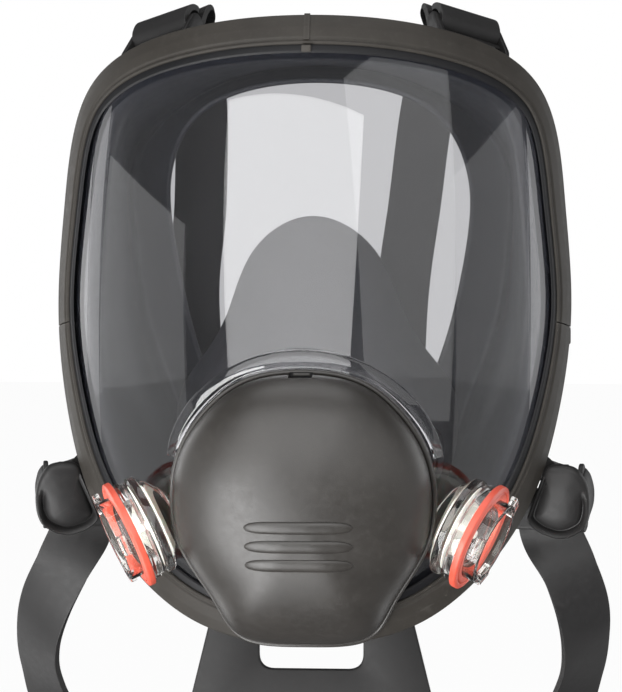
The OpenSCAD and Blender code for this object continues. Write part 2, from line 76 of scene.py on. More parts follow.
LENS_RH, LENS_RV, LENS_T = 100, 260, 2.5  # radii across and up and down, and the wall
LENS_DEPTH, LENS_TOP_Z = 98, -10  # how far forward the lens comes, and at what height
POLES = 16  # of every closed outline, which runs from the top down the right side and round
SPLIT_U = 4.134  # where the two halves of the frame meet, in poles
FRAME_OUTLINE = [(0, 108.5), (44.5, 105.5), (85.5, 91), (88.5, 41.5), (92.5, 5), (86.5, -34),
                 (76, -69.5), (42.5, -106), (0, -110.5)]
FOLD_OUTLINE = [(0, 97), (38.5, 91), (75, 65.5), (72, 29.5), (70, 0), (55, -34), (52, -48),
                (34, -84), (0, -92)]
WINDOW_OUTLINE = [(0, 91), (44, 83), (57, 57.5), (57.5, 38), (53, 12.5), (47.5, -10),
                  (36.5, -36), (26.5, -62), (0, -74)]
COVER_OUTLINE = [(0, -12.3), (21, -14.8), (34.8, -27.5), (43.5, -41), (46, -58), (43.5, -76),
                 (30, -93.5), (25, -110), (0, -109)]
CUP_OUTLINE = [(0, 42), (23, 27), (29, 4), (39, -12.5), (52, -25.5), (48, -56), (33, -76),
               (6, -82), (0, -81)]
ADAPTER_Z, APERTURE_R = -57, 36
ADAPTER_TILT = math.asin((LENS_TOP_Z - ADAPTER_Z) / LENS_RV)
VALVE_AT, VALVE_R = (0, -11.5), 14
DIAPHRAGM_AT, DIAPHRAGM_R = (0, 18.5), 9.5
SEAL_T, CUP_T, CUP_RIM_R = 2.2, 2, 35.8
COVER_CENTRE, COVER_H, COVER_T = np.array([0, -60]), 25, 2
LATCH_X, LATCH_Z = 4, (-15.9, -14.1)  # half the width of the cover's latch slot, and its low and high
PORT_AT, PORT_AXIS, PORT_FOOT = (58.5, -91, -69.5), (0.87, -0.27, -0.41), (54.5, -63.5)
PORT_R, GASKET_R, NECK_R = 12, 19, 8.4
CUP_VALVE_AT, CUP_VALVE_AXIS, CUP_VALVE_R = (36, -52, -46), (0.9, -0.38, 0.2), 9
STRAP_W, STRAP_T = 20, 2.4
WRAP_W = 24  # width of a strap where it wraps round a buckle's bar

# Each buckle: the middle of its pin and its turn in degrees, how far its cheeks reach forward and
# up, the low and high corners of its cross bar, the stretch of the frame that its anchor stands on,
# in poles, and the points of its strap's end, from the bar. The cheeks, the cross bar and the
# strap's end are in the buckle's own axes, where Z runs from the pin to the bar.
BUCKLES = {"upper": {"pin": (56.5, -39.5, 98.5), "turn": (-49, 13, 28), "front": 5, "length": 17,
                     "cross": ((-1.4, 3.7), (1.4, 5.9)), "seat": (1.2, 1.42),
                     "tail": ((1.3, 7.6), (-0.6, 7.4), (-2.8, 5.9), (-4.1, 3.2))},
           "lower": {"pin": (83, -46, -52), "turn": (200, 0, -12), "front": 6, "length": 22,
                     "cross": ((-2.2, 19.4), (2, 22)), "seat": (5.3, 5.5),
                     "tail": ((-4.6, 7), (-4.3, 3.5))}}
FACE_OUTLINE = [(1.8, -5.6), (7, -6.2), (12.5, -5), (15.8, 0.5), (16.8, 7), (16.3, 13), (14.5, 18),
                (9, 21.4), (4, 22), (-2.5, 19.5), (-6.5, 15.5)]
PIN_END_R, BAR_AT, BAR_R = 3.4, 12, 2.4
BUCKLE_IN, BUCKLE_OUT = 12.1, 13.8  # the inner and outer sides of a cheek
WRAP_R = BAR_R + STRAP_T / 2 + 0.45
CRADLE_X, CRADLE_Y = -4.5, 18  # the head cradle hangs a little to the left

# ---- Points, curves and places ----


def unit(v):
    """Vectors made one long."""
    v = np.asarray(v, float)
    return v / np.linalg.norm(v, axis=-1, keepdims=True)


def mix(a, b, t):
    """What lies between a and b, at the share t."""
    return np.asarray(a, float) + (np.asarray(b, float) - a) * t


def closed_poles(half):
    """A closed outline from its right half, which runs from the top to the bottom."""
    right = np.array(half, float)
    return np.vstack([right, right[-2:0:-1] * (-1, 1)])


def spline(half, u):
    """Points of the closed uniform cubic spline on an outline's poles, at the u given."""
    poles, u = closed_poles(half), np.atleast_1d(np.asarray(u, float))
    i = np.floor(u).astype(int)
    t = (u - i)[:, None]
    p = [poles[(i + k) % len(poles)] for k in (-1, 0, 1, 2)]
    return ((1 - t) ** 3 * p[0] + (3 * t**3 - 6 * t**2 + 4) * p[1]
            + (-3 * t**3 + 3 * t**2 + 3 * t + 1) * p[2] + t**3 * p[3]) / 6


def route(points, s):
    """Points of the open curve that passes through the points given, for s from 0 to 1."""
    points = np.array(points, float)
    last = len(points) - 1
    u = np.clip(np.atleast_1d(np.asarray(s, float)) * last, 0, last - 1e-4)
    i = np.floor(u).astype(int)
    t = (u - i)[:, None]
    p = [points[np.clip(i + k, 0, last)] for k in (-1, 0, 1, 2)]
    return 0.5 * (2 * p[1] + (p[2] - p[0]) * t + (2 * p[0] - 5 * p[1] + 4 * p[2] - p[3]) * t**2
                  + (3 * p[1] - p[0] - 3 * p[2] + p[3]) * t**3)


def lens_y(x, z):
    """The depth of the lens's outside at x and z."""
    return (LENS_RH - np.sqrt(LENS_RH**2 - np.square(x)) - LENS_DEPTH
            + LENS_RV - np.sqrt(LENS_RV**2 - np.square(z - LENS_TOP_Z)))


def lens_point(p):
    """The point of the lens's outside at each (x, z)."""
    p = np.asarray(p, float)
    return np.stack([p[..., 0], lens_y(p[..., 0], p[..., 1]), p[..., 1]], -1)


def lens_normal(p):
    """The lens's outward direction at each (x, z)."""
    p = np.asarray(p, float)
    x, z = p[..., 0], p[..., 1] - LENS_TOP_Z
    return unit(np.stack([x / np.sqrt(LENS_RH**2 - x**2), -np.ones_like(x),
                          z / np.sqrt(LENS_RV**2 - z**2)], -1))


def band_axes(u):
    """Where the frame's outline lies on the lens at u, with its inward and outward directions."""
    p, q = spline(FRAME_OUTLINE, u), spline(FRAME_OUTLINE, np.asarray(u) + 0.05)
    at, normal = lens_point(p), lens_normal(p)
    return at, unit(np.cross(unit(lens_point(q) - at), normal)), normal


def band_rings(u, section):
    """The section, as (inward, outward) points, carried along the frame's outline."""
    at, inward, normal = band_axes(u)
    section = np.asarray(section, float)
    return (at[:, None] + section[None, :, :1] * inward[:, None]
            + section[None, :, 1:] * normal[:, None])


def band_point(u, inward, outward):
    """The point of the frame's section, as in band_rings, at each u."""
    return band_rings(u, [(inward, outward)])[:, 0]


def rounded(points, radius, closed=True, steps=4):
    """A flat outline with its corners rounded."""
    points, out = np.array(points, float), []
    for i, corner in enumerate(points):
        if not closed and i in (0, len(points) - 1):
            out.append(corner)
            continue
        before, after = points[i - 1] - corner, points[(i + 1) % len(points)] - corner
        reach = min(radius, 0.45 * np.linalg.norm(before), 0.45 * np.linalg.norm(after))
        start, end = corner + unit(before) * reach, corner + unit(after) * reach
        for t in np.linspace(0, 1, steps + 1):
            out.append((1 - t) ** 2 * start + 2 * t * (1 - t) * corner + t**2 * end)
    return np.array(out)


def turn_matrix(turn):
    """The 3 by 3 matrix of a turn about X, then Y, then Z, in degrees."""
    x, y, z = (math.radians(a) for a in turn)
    return np.array(Matrix.Rotation(z, 3, "Z") @ Matrix.Rotation(y, 3, "Y")
                    @ Matrix.Rotation(x, 3, "X"))


def axis_matrix(axis):
    """The 3 by 3 matrix that turns Z onto an axis, as the ports and valves are turned."""
    x, y, z = unit(axis)
    return turn_matrix((0, math.degrees(math.acos(z)), math.degrees(math.atan2(y, x))))


ADAPTER = (np.array([0, lens_y(0, ADAPTER_Z), ADAPTER_Z]),
           turn_matrix((90 + math.degrees(ADAPTER_TILT), 0, 0)))
PORT = (np.array(PORT_AT, float), axis_matrix(PORT_AXIS))
CUP_VALVE = (np.array(CUP_VALVE_AT, float), axis_matrix(CUP_VALVE_AXIS))
BUCKLE = {k: (np.array(b["pin"], float), turn_matrix(b["turn"])) for k, b in BUCKLES.items()}


def placed(points, place, shift=(0, 0)):
    """Points given in a place's own axes, in the frame's axes."""
    origin, turn = place
    return origin + (np.asarray(points, float) + (*shift, 0)) @ turn.T


# ---- Meshes: each function gives (points, faces) ----


def sweep(rings, around=False):
    """A closed solid through rings of points, either in a full turn or with capped ends."""
    rings = np.asarray(rings, float)
    n, m = rings.shape[:2]
    faces = []
    for i in range(n if around else n - 1):
        a, b = i * m, (i + 1) % n * m
        faces += [(a + j, a + (j + 1) % m, b + (j + 1) % m, b + j) for j in range(m)]
    if not around:
        faces += [tuple(range(m))[::-1], tuple((n - 1) * m + j for j in range(m))]
    return rings.reshape(-1, 3), faces


def grid_normals(grid):
    """The directions out of a grid that closes on itself along its first index."""
    along = np.roll(grid, -1, 0) - np.roll(grid, 1, 0)
    return unit(np.cross(along, np.gradient(grid, axis=1)))


def skin(grid, outer, inner, normals=None):
    """A wall on a grid that closes on itself along its first index, with rounded rims."""
    normals = grid_normals(grid) if normals is None else normals
    front, back = grid + outer * normals, grid + inner * normals
    middle, half = (front + back) / 2, (outer - inner) / 2
    rows = [front[:, j] for j in range(grid.shape[1])]
    for j, step in ((-1, -2), (0, 1)):
        out = unit(grid[:, j] - grid[:, step])
        turns = np.linspace(0, math.pi, 7)[1:-1]
        if j == 0:
            rows += [back[:, k] for k in range(grid.shape[1] - 1, -1, -1)]
            turns = math.pi - turns
        rows += [middle[:, j] + half * (math.cos(a) * normals[:, j] + math.sin(a) * out)
                 for a in turns]
    return sweep(np.stack(rows, 1), around=True)


def dome(grid, thickness, normals):
    """A closed wall on a grid whose first ring is its tip, thickened inward, with a rounded rim."""
    back = grid - thickness * normals
    out = unit(grid[:, -1] - grid[:, -2])
    middle = (grid[:, -1] + back[:, -1]) / 2
    turns = np.linspace(0, math.pi, 7)[1:-1]
    rim = [middle + thickness / 2 * (math.cos(a) * normals[:, -1] + math.sin(a) * out)
           for a in turns]
    rows = [grid[:, j] for j in range(grid.shape[1])] + rim
    rows += [back[:, j] for j in range(grid.shape[1] - 1, -1, -1)]
    return sweep(np.stack(rows, 0))


def circles(profile, steps=96):
    """Circles of a profile of (radius, height) points."""
    turn = np.linspace(0, 2 * math.pi, steps, endpoint=False)
    return np.array([[(r * math.cos(a), r * math.sin(a), h) for a in turn] for r, h in profile])


def solid_of(profile, radius, steps=96):
    """A turned solid: the profile runs from the axis at one end to the axis at the other, and
    its corners have the radius given."""
    return sweep(circles(rounded(profile, radius, closed=False), steps))


def ring_of(profile, radius=0.3):
    """A turned ring with a closed profile."""
    rings = circles(rounded(profile, radius))
    return sweep(np.swapaxes(rings, 0, 1), around=True)


def block(low, high, bevel, segments=3):
    """A box with rounded edges."""
    low, high = np.array(low, float), np.array(high, float)
    bm = bmesh.new()
    bmesh.ops.create_cube(bm, size=1)
    for v in bm.verts:
        v.co = Vector(low + (np.array(v.co) + 0.5) * (high - low))
    bmesh.ops.bevel(bm, geom=bm.edges[:], offset=bevel, segments=segments, profile=0.6,
                    affect="EDGES", clamp_overlap=True)
    bm.verts.index_update()
    points = np.array([v.co for v in bm.verts])
    faces = [tuple(v.index for v in f.verts) for f in bm.faces]
    bm.free()
    return points, faces


def plate(outline, low, high, bevel, hole=None):
    """A flat plate with rounded edges, its outline in x and y, with an optional hole.
    Outline and hole have the same number of points. Without a hole it closes on its centre."""
    outline = np.asarray(outline, float)
    centre = outline.mean(0)
    rows = []
    hole = centre + (outline - centre) * 0.02 if hole is None else np.asarray(hole, float)
    for edge, other, flip in ((outline, hole, False), (hole, outline, True)):
        inward = unit(other - edge)
        turns = np.linspace(0, math.pi / 2, 4)
        corner = [(bevel * (1 - math.sin(a)), low + bevel * (1 - math.cos(a))) for a in turns]
        corner += [(d, low + high - h) for d, h in corner[::-1]]
        corner = corner[::-1] if flip else corner
        rows += [np.column_stack([edge + inward * d, np.full(len(edge), h)]) for d, h in corner]
    return sweep(np.stack(rows, 1), around=True)


def in_place(shape, place, shift=(0, 0)):
    """A shape given in a place's own axes, in the frame's axes."""
    points, faces = shape
    return placed(points, place, shift), faces


def joined(parts):
    """Several solids as one."""
    points, faces, start = [], [], 0
    for p, f in parts:
        points.append(np.asarray(p, float))
        faces += [tuple(k + start for k in face) for face in f]
        start += len(p)
    return np.vstack(points), faces


def piece(name, shape, material, body="root", side=1, stands_for=(), sharp=38, rides=True):
    """A mesh object of the shape, mirrored for the left side, which rides on a body."""
    points, faces = shape
    points = np.asarray(points, float) * (side, 1, 1) * MM
    faces = [face[::-1] for face in faces] if side < 0 else faces
    mesh = bpy.data.meshes.new(name)
    mesh.from_pydata(points.tolist(), [], faces)
    bm = bmesh.new()
    bm.from_mesh(mesh)
    bmesh.ops.recalc_face_normals(bm, faces=bm.faces)
    bm.to_mesh(mesh)
    bm.free()
    mesh.polygons.foreach_set("use_smooth", [True] * len(mesh.polygons))
    mesh.set_sharp_from_angle(angle=math.radians(sharp))
    mesh.materials.append(material)
    obj = bpy.data.objects.new(name, mesh)
    bpy.context.scene.collection.objects.link(obj)
    if rides:
        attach(obj, body)
    if stands_for:
        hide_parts(*stands_for)
    return obj


def cut(obj, cutter_shape):
    """Takes a shape out of a piece."""
    points, faces = cutter_shape
    mesh = bpy.data.meshes.new("cutter")
    mesh.from_pydata((np.asarray(points) * MM).tolist(), [], faces)
    cutter = bpy.data.objects.new("cutter", mesh)
    bpy.context.scene.collection.objects.link(cutter)
    step = obj.modifiers.new("cut", "BOOLEAN")
    step.object, step.operation, step.solver = cutter, "DIFFERENCE", "MANIFOLD"
    bpy.context.view_layer.update()
    made = bpy.data.meshes.new_from_object(obj.evaluated_get(bpy.context.evaluated_depsgraph_get()))
    obj.modifiers.clear()
    obj.data = made
    bpy.data.objects.remove(cutter)


# ---- Materials ----


def shader(name, slot):
    """A new material with an empty node tree, its nodes and its output."""
    material = bpy.data.materials.new(name)
    material.use_nodes = True
    material["slot"] = slot
    nodes, links = material.node_tree.nodes, material.node_tree.links
    nodes.clear()
    return material, nodes, links, nodes.new("ShaderNodeOutputMaterial")


def noise(nodes, links, coordinates, size, detail=3, rough=0.5):
    """A noise texture whose features are about size millimetres across."""
    texture = nodes.new("ShaderNodeTexNoise")
    texture.inputs["Scale"].default_value = 1 / (size * MM)
    texture.inputs["Detail"].default_value = detail
    texture.inputs["Roughness"].default_value = rough
    links.new(coordinates, texture.inputs["Vector"])
    return texture.outputs["Fac"]


def ranged(nodes, links, value, low, high, start=0.3, end=0.7):
    """A value mapped from start..end to low..high."""
    node = nodes.new("ShaderNodeMapRange")
    links.new(value, node.inputs["Value"])
    for socket, number in zip(("From Min", "From Max", "To Min", "To Max"), (start, end, low, high)):
        node.inputs[socket].default_value = number
    return node.outputs["Result"]


def blended(nodes, links, factor, first, second):
    """The second colour over the first, by a factor. A colour is a tuple or a socket."""
    node = nodes.new("ShaderNodeMix")
    node.data_type = "RGBA"
    links.new(factor, node.inputs["Factor"])
    for socket, colour in ((node.inputs[6], first), (node.inputs[7], second)):
        if isinstance(colour, tuple):
            socket.default_value = (*colour, 1)
        else:
            links.new(colour, socket)
    return node.outputs[2]


def moulded(name, slot, colour, light, rough, grain_mm=0.35, grain=0.25, edge_wear_and_highlight=0.15,
            specular=0.5, metal=0.0, glow=0.0):
    """Moulded plastic, rubber or metal: fine grain, mottled colour and lighter edges, which stand
    partly for wear and partly for a painted highlight on the edges.
    """
    material, nodes, links, output = shader(name, slot)
    here = nodes.new("ShaderNodeTexCoord").outputs["Object"]
    surface = nodes.new("ShaderNodeBsdfPrincipled")
    cloud = noise(nodes, links, here, 14, 6, 0.62)
    fine = noise(nodes, links, here, grain_mm, 2)
    dust = noise(nodes, links, here, 2.5, 8, 0.75)
    darker, paler = (tuple(c * k for c in colour) for k in (0.86, 1.12))
    shade = blended(nodes, links, ranged(nodes, links, cloud, 0, 1), darker, paler)
    shade = blended(nodes, links, ranged(nodes, links, dust, 0, 0.16, 0.52, 0.8), shade, light)
    # Edges lightened by pointiness: partly wear, partly a painted highlight where light catches the
    # edges.
    edges = nodes.new("ShaderNodeNewGeometry").outputs["Pointiness"]
    worn_and_highlit_edges = ranged(nodes, links, edges, 0, edge_wear_and_highlight, 0.505, 0.58)
    links.new(blended(nodes, links, worn_and_highlit_edges, shade, light), surface.inputs["Base Color"])
    links.new(ranged(nodes, links, dust, rough - 0.05, rough + 0.09), surface.inputs["Roughness"])
    bump = nodes.new("ShaderNodeBump")
    bump.inputs["Strength"].default_value = grain
    bump.inputs["Distance"].default_value = 0.12 * MM
    links.new(fine, bump.inputs["Height"])
    links.new(bump.outputs["Normal"], surface.inputs["Normal"])
    surface.inputs["Metallic"].default_value = metal
    surface.inputs["Specular IOR Level"].default_value = specular
    surface.inputs["Subsurface Weight"].default_value = glow
    surface.inputs["Subsurface Radius"].default_value = (0.004, 0.002, 0.0015)
    surface.inputs["Subsurface Scale"].default_value = 0.5
    links.new(surface.outputs["BSDF"], output.inputs["Surface"])
    return material


def clear(name, slot, tint, rough, ior):
    """Clear moulded plastic with faint scuffs. Light from the lamps reaches what is behind it."""
    material, nodes, links, output = shader(name, slot)
    here = nodes.new("ShaderNodeTexCoord").outputs["Object"]
    surface = nodes.new("ShaderNodeBsdfPrincipled")
    surface.inputs["Base Color"].default_value = (*tint, 1)
    surface.inputs["Transmission Weight"].default_value = 1
    surface.inputs["IOR"].default_value = ior
    scuffs = noise(nodes, links, here, 3, 8, 0.8)
    links.new(ranged(nodes, links, scuffs, rough, rough + 0.05, 0.5, 0.85),
              surface.inputs["Roughness"])
    bump = nodes.new("ShaderNodeBump")
    bump.inputs["Strength"].default_value = 0.04
    bump.inputs["Distance"].default_value = 0.1 * MM
    links.new(noise(nodes, links, here, 25, 2), bump.inputs["Height"])
    links.new(bump.outputs["Normal"], surface.inputs["Normal"])
    through = nodes.new("ShaderNodeBsdfTransparent")
    through.inputs["Color"].default_value = (*(math.sqrt(c) for c in tint), 1)
    choice = nodes.new("ShaderNodeMixShader")
    links.new(nodes.new("ShaderNodeLightPath").outputs["Is Shadow Ray"], choice.inputs["Fac"])
    links.new(surface.outputs["BSDF"], choice.inputs[1])
    links.new(through.outputs["BSDF"], choice.inputs[2])
    links.new(choice.outputs["Shader"], output.inputs["Surface"])
    return material


LENS = clear("lens_polycarbonate", "clear_lens", (0.5, 0.5, 0.515), 0.0, 1.58)
CLEAR_PORT = clear("port_polycarbonate", "clear_port", (0.96, 0.955, 0.93), 0.03, 1.5)
FRAME = moulded("frame_plastic", "frame_plastic", (0.029, 0.026, 0.0225), (0.11, 0.103, 0.093), 0.5,
                specular=0.2)
COVER = moulded("cover_plastic", "cover_plastic", (0.026, 0.0235, 0.021), (0.075, 0.07, 0.063), 0.37,
                edge_wear_and_highlight=0.06, specular=0.5)
SEAL = moulded("seal_silicone", "seal_silicone", (0.026, 0.028, 0.036), (0.05, 0.052, 0.06), 0.42,
               grain_mm=0.6, grain=0.12, glow=0.1)
CUP = moulded("cup_silicone", "cup_silicone", (0.045, 0.045, 0.051), (0.1, 0.1, 0.11), 0.5,
              grain_mm=0.6, grain=0.12, glow=0.15)
VALVE = moulded("valve_silicone", "valve_silicone", (0.72, 0.72, 0.68), (0.85, 0.85, 0.82), 0.4,
                grain=0.1, glow=0.3)
RED = moulded("red_silicone", "red_silicone", (0.62, 0.085, 0.05), (0.85, 0.3, 0.22), 0.36,
              grain_mm=0.5, grain=0.12, glow=0.25)
BLACK = moulded("black_rubber", "black_rubber", (0.006, 0.006, 0.007), (0.03, 0.03, 0.03), 0.5,
                specular=0.25)
STRAP = moulded("strap_rubber", "strap_rubber", (0.014, 0.0135, 0.0135), (0.045, 0.043, 0.042), 0.5,
                grain_mm=0.5, grain=0.2, specular=0.3)
DARK = moulded("dark_plastic", "dark_plastic", (0.024, 0.023, 0.023), (0.12, 0.115, 0.11), 0.42)
GLOSSY = moulded("buckle_plastic", "buckle_plastic", (0.013, 0.0125, 0.0125), (0.04, 0.039, 0.038), 0.4,
                 grain=0.1, specular=0.22)
STEEL = moulded("steel", "steel", (0.2, 0.2, 0.205), (0.38, 0.38, 0.385), 0.34,
                grain=0.08, metal=1.0)
SLOT_MATERIALS = {m["slot"]: m for m in (LENS, CLEAR_PORT, FRAME, COVER, SEAL, CUP, VALVE, RED,
                                         BLACK, STRAP, DARK, GLOSSY, STEEL)}

# ---- Camera, light and floor ----

CAMERA_FROM_ORIGIN = 0.9
CAMERA_AZIMUTH, CAMERA_ELEVATION = 3.6, 1.5
CAMERA_AIM = Vector((-0.0035, 0, -0.009))
CAMERA_LENS = 124.6
PANEL_DISTANCE = 1.7
# Each panel: the azimuths and the elevations it spans, in degrees, and its radiance
PANELS = {"front": ((-36, 17), (-6, 44), 3.3), "low_left": ((-45, -16), (-62, -8), 11),
          "front_right": ((19.5, 60), (-12, 50), 1), "left": ((-101, -53), (-45, 18), 0.9),
          "left_back_1": ((-110, -101), (-40, 24), 1.5), "left_back_2": ((-119, -110), (-40, 24), 2.2),
          "left_back_3": ((-135, -119), (-40, 24), 3), "right": ((60, 100), (-40, 24), 0.6),
          "right_back": ((100, 140), (-40, 24), 1.8)}


def around(azimuth, elevation, distance):
    """A point seen from the origin at an azimuth and elevation, where azimuth 0 is the front."""
    a, e = math.radians(azimuth), math.radians(elevation)
    return Vector((math.sin(a) * math.cos(e), -math.cos(a) * math.cos(e), math.sin(e))) * distance


def make_camera():
    """A long lens, a little to the right of straight ahead and a little above it."""
    data = bpy.data.cameras.new("camera")
    data.lens = CAMERA_LENS
    data.clip_start = 0.01
    camera = bpy.data.objects.new("camera", data)
    camera.location = around(CAMERA_AZIMUTH, CAMERA_ELEVATION, CAMERA_FROM_ORIGIN)
    camera.rotation_euler = (CAMERA_AIM - camera.location).to_track_quat("-Z", "Y").to_euler()
    bpy.context.scene.collection.objects.link(camera)
    bpy.context.scene.camera = camera


def softbox(name, azimuth, elevation, distance, width, height, radiance):
    """A rectangular lamp that faces the object, of an even radiance over its face."""
    data = bpy.data.lights.new(name, "AREA")
    data.shape, data.size, data.size_y = "RECTANGLE", width, height
    data.energy = radiance * math.pi * width * height
    lamp = bpy.data.objects.new(name, data)
    lamp.location = around(azimuth, elevation, distance)
    lamp.rotation_euler = (-lamp.location).to_track_quat("-Z", "Y").to_euler()
    lamp.visible_camera = False
    bpy.context.scene.collection.objects.link(lamp)


def panel(name, azimuths, elevations, radiance):
    """A softbox that spans the azimuths and elevations given, as seen from the object."""
    width, height = (2 * PANEL_DISTANCE * math.tan(math.radians((end - start) / 2))
                     for start, end in (azimuths, elevations))
    softbox(name, sum(azimuths) / 2, sum(elevations) / 2, PANEL_DISTANCE, width, height, radiance)


def seen_or_through(nodes, links):
    """1 for what is seen straight or through clear parts, and 0 for light and mirrors."""
    path, either = nodes.new("ShaderNodeLightPath"), nodes.new("ShaderNodeMath")
    either.operation = "MAXIMUM"
    links.new(path.outputs["Is Camera Ray"], either.inputs[0])
    links.new(path.outputs["Is Transmission Ray"], either.inputs[1])
    return either.outputs["Value"]


def make_world():
    """White behind the object, and a dim grey for what it mirrors and is lit by."""
    world = bpy.data.worlds.new("studio")
    world.use_nodes = True
    nodes, links = world.node_tree.nodes, world.node_tree.links
    nodes.clear()
    seen, lit = nodes.new("ShaderNodeBackground"), nodes.new("ShaderNodeBackground")
    seen.inputs["Color"].default_value = (1, 1, 1, 1)
    lit.inputs["Color"].default_value = (0.08, 0.083, 0.09, 1)
    choice, output = nodes.new("ShaderNodeMixShader"), nodes.new("ShaderNodeOutputWorld")
    links.new(seen_or_through(nodes, links), choice.inputs["Fac"])
    links.new(lit.outputs["Background"], choice.inputs[1])
    links.new(seen.outputs["Background"], choice.inputs[2])
    links.new(choice.outputs["Shader"], output.inputs["Surface"])
    bpy.context.scene.world = world


def make_floor():
    """A white floor just under the object, which hardly lights it from below."""
    half, gap = 3000, 1.5
    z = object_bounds()[0].z / MM - gap
    corners = [(-half, -half, z), (half, -half, z), (half, half, z), (-half, half, z)]
    material, nodes, links, output = shader("floor_paper", "floor_paper")
    paper, white = nodes.new("ShaderNodeBsdfDiffuse"), nodes.new("ShaderNodeEmission")
    here = nodes.new("ShaderNodeTexCoord").outputs["Object"]
    links.new(blended(nodes, links, noise(nodes, links, here, 400), (0.3,) * 3, (0.34,) * 3),
              paper.inputs["Color"])
    share = ranged(nodes, links, seen_or_through(nodes, links), 0, 0.97, 0, 1)
    choice = nodes.new("ShaderNodeMixShader")
    links.new(share, choice.inputs["Fac"])
    links.new(paper.outputs["BSDF"], choice.inputs[1])
    links.new(white.outputs["Emission"], choice.inputs[2])
    links.new(choice.outputs["Shader"], output.inputs["Surface"])
    mesh = bpy.data.meshes.new("floor")
    mesh.from_pydata([tuple(c * MM for c in corner) for corner in corners], [], [(0, 1, 2, 3)])
    mesh.materials.append(material)
    floor = bpy.data.objects.new("floor", mesh)
    bpy.context.scene.collection.objects.link(floor)
    floor.visible_glossy = floor.visible_shadow = False


make_camera()
make_world()
make_floor()
for panel_name, panel_values in PANELS.items():
    panel(panel_name, *panel_values)
softbox("top", 0, 80, 1.4, 1.2, 0.9, 2.4)
bpy.context.scene.view_settings.view_transform = "Standard"

# ---- Lens and frame ----

AROUND = np.arange(0, POLES, POLES / 240)  # the places round every closed outline, in poles
ANGLES = AROUND * 2 * math.pi / POLES


def make_lens():
    """The lens's wall from the adapter's hole to the frame, and the boss round the hole."""
    hole_r = APERTURE_R + 1
    hole = np.column_stack([hole_r * np.sin(ANGLES), ADAPTER_Z + hole_r * np.cos(ANGLES)])
    edge = band_point(AROUND, 2.9, 0)[:, [0, 2]]
    flat = np.stack([mix(hole, edge, s) for s in np.linspace(0, 1, 36)], 1)
    piece("lens", skin(lens_point(flat), 0, -LENS_T, lens_normal(flat)), LENS, stands_for=["lens"])
    inner, outer, back, front = APERTURE_R, APERTURE_R + 2.5, -13, 1
    boss = ring_of([(inner, back), (outer, back), (outer, front), (inner, front)])
    piece("lens_boss", in_place(boss, ADAPTER), LENS)


def make_lens_collar():
    """A clear, flat-topped rim that stands on the lens over the top of the cover."""
    centre_z, radius, height, gap = -55, 48.8, 4.2, 0.6
    end = math.radians(76)
    angles = np.linspace(-end, end, 121)
    x, z = (spline(COVER_OUTLINE, np.linspace(-4.5, 4.5, 181) % POLES) - (0, centre_z)).T
    inner = np.interp(angles, np.arctan2(x, z), np.hypot(x, z)) + gap
    fade = np.clip((end - np.abs(angles)) / 0.45, 0.03, 1) ** 0.5
    section = rounded([(0, 0.02), (1, 0.02), (0.9, 1), (0.06, 1)], 0.16)
    rings = []
    for across, up in section:
        reach = mix(inner, radius, across)
        p = np.column_stack([reach * np.sin(angles), centre_z + reach * np.cos(angles)])
        rings.append(lens_point(p) + (up * height * fade)[:, None] * lens_normal(p))
    piece("lens_collar", sweep(np.stack(rings, 1)), LENS)


# The frame's channel section, inward from its outer edge and outward from the lens
FRAME_SECTION = [(0.6, -9), (0, -8.2), (0, 0.8), (0.9, 1.95), (5.5, 2.35), (9.6, 2.05), (10.2, 1.55),
                 (10.8, 1.5), (11.3, 1.9), (12, 1.5), (12, 0.3), (2.2, 0.3), (2.2, -7.1), (9, -7.1),
                 (9, -9)]


def make_frame():
    """The two halves of the frame, each with a screw lug at both of its ends."""
    gap = 0.012  # between the halves, in poles
    x, y, _ = band_point([SPLIT_U], 0, 0)[0]
    lug_place = (np.array([x, y, 0]), turn_matrix((0, 0, -24)))
    for name, start, end, low, high in (
            ("upper_frame", -SPLIT_U, SPLIT_U, -0.2, 7),
            ("lower_frame", SPLIT_U + gap, POLES - SPLIT_U - gap, -7, -0.9)):
        band = sweep(band_rings(np.linspace(start, end, 190), rounded(FRAME_SECTION, 0.45)))
        points, faces = in_place(block((-8, -0.5, low), (-1.4, 7.9, high), 0.9), lug_place)
        lugs = [(points * (side, 1, 1), faces) for side in SIDES.values()]
        piece(name, joined([band] + lugs), FRAME, stands_for=[name])


def make_frame_details():
    """The black gasket inside the frame's lip, and the seam and the nub at the frame's top."""
    seal = rounded([(11.3, 0.02), (15, 0.02), (14.4, 0.75), (11.3, 0.85)], 0.25)
    piece("lens_edge_gasket", sweep(band_rings(AROUND, seal), around=True), BLACK)
    rib = rounded([(-0.05, -6), (-0.35, 1.2), (0.8, 2.35), (5.5, 2.75), (10.6, 2.2), (10.6, 1.2),
                   (0.5, 1)], 0.3)
    piece("frame_top_seam", sweep(band_rings(np.linspace(-0.022, 0.022, 5), rib)), FRAME)
    top = (band_point([0], 13.4, 0.4)[0], np.eye(3))
    piece("frame_top_nub", in_place(block((-1.7, -1.5, -1.2), (1.7, 0.6, 1.2), 0.5), top), FRAME)


make_lens()
make_lens_collar()
make_frame()
make_frame_details()

# ---- Face seal and nose cup ----


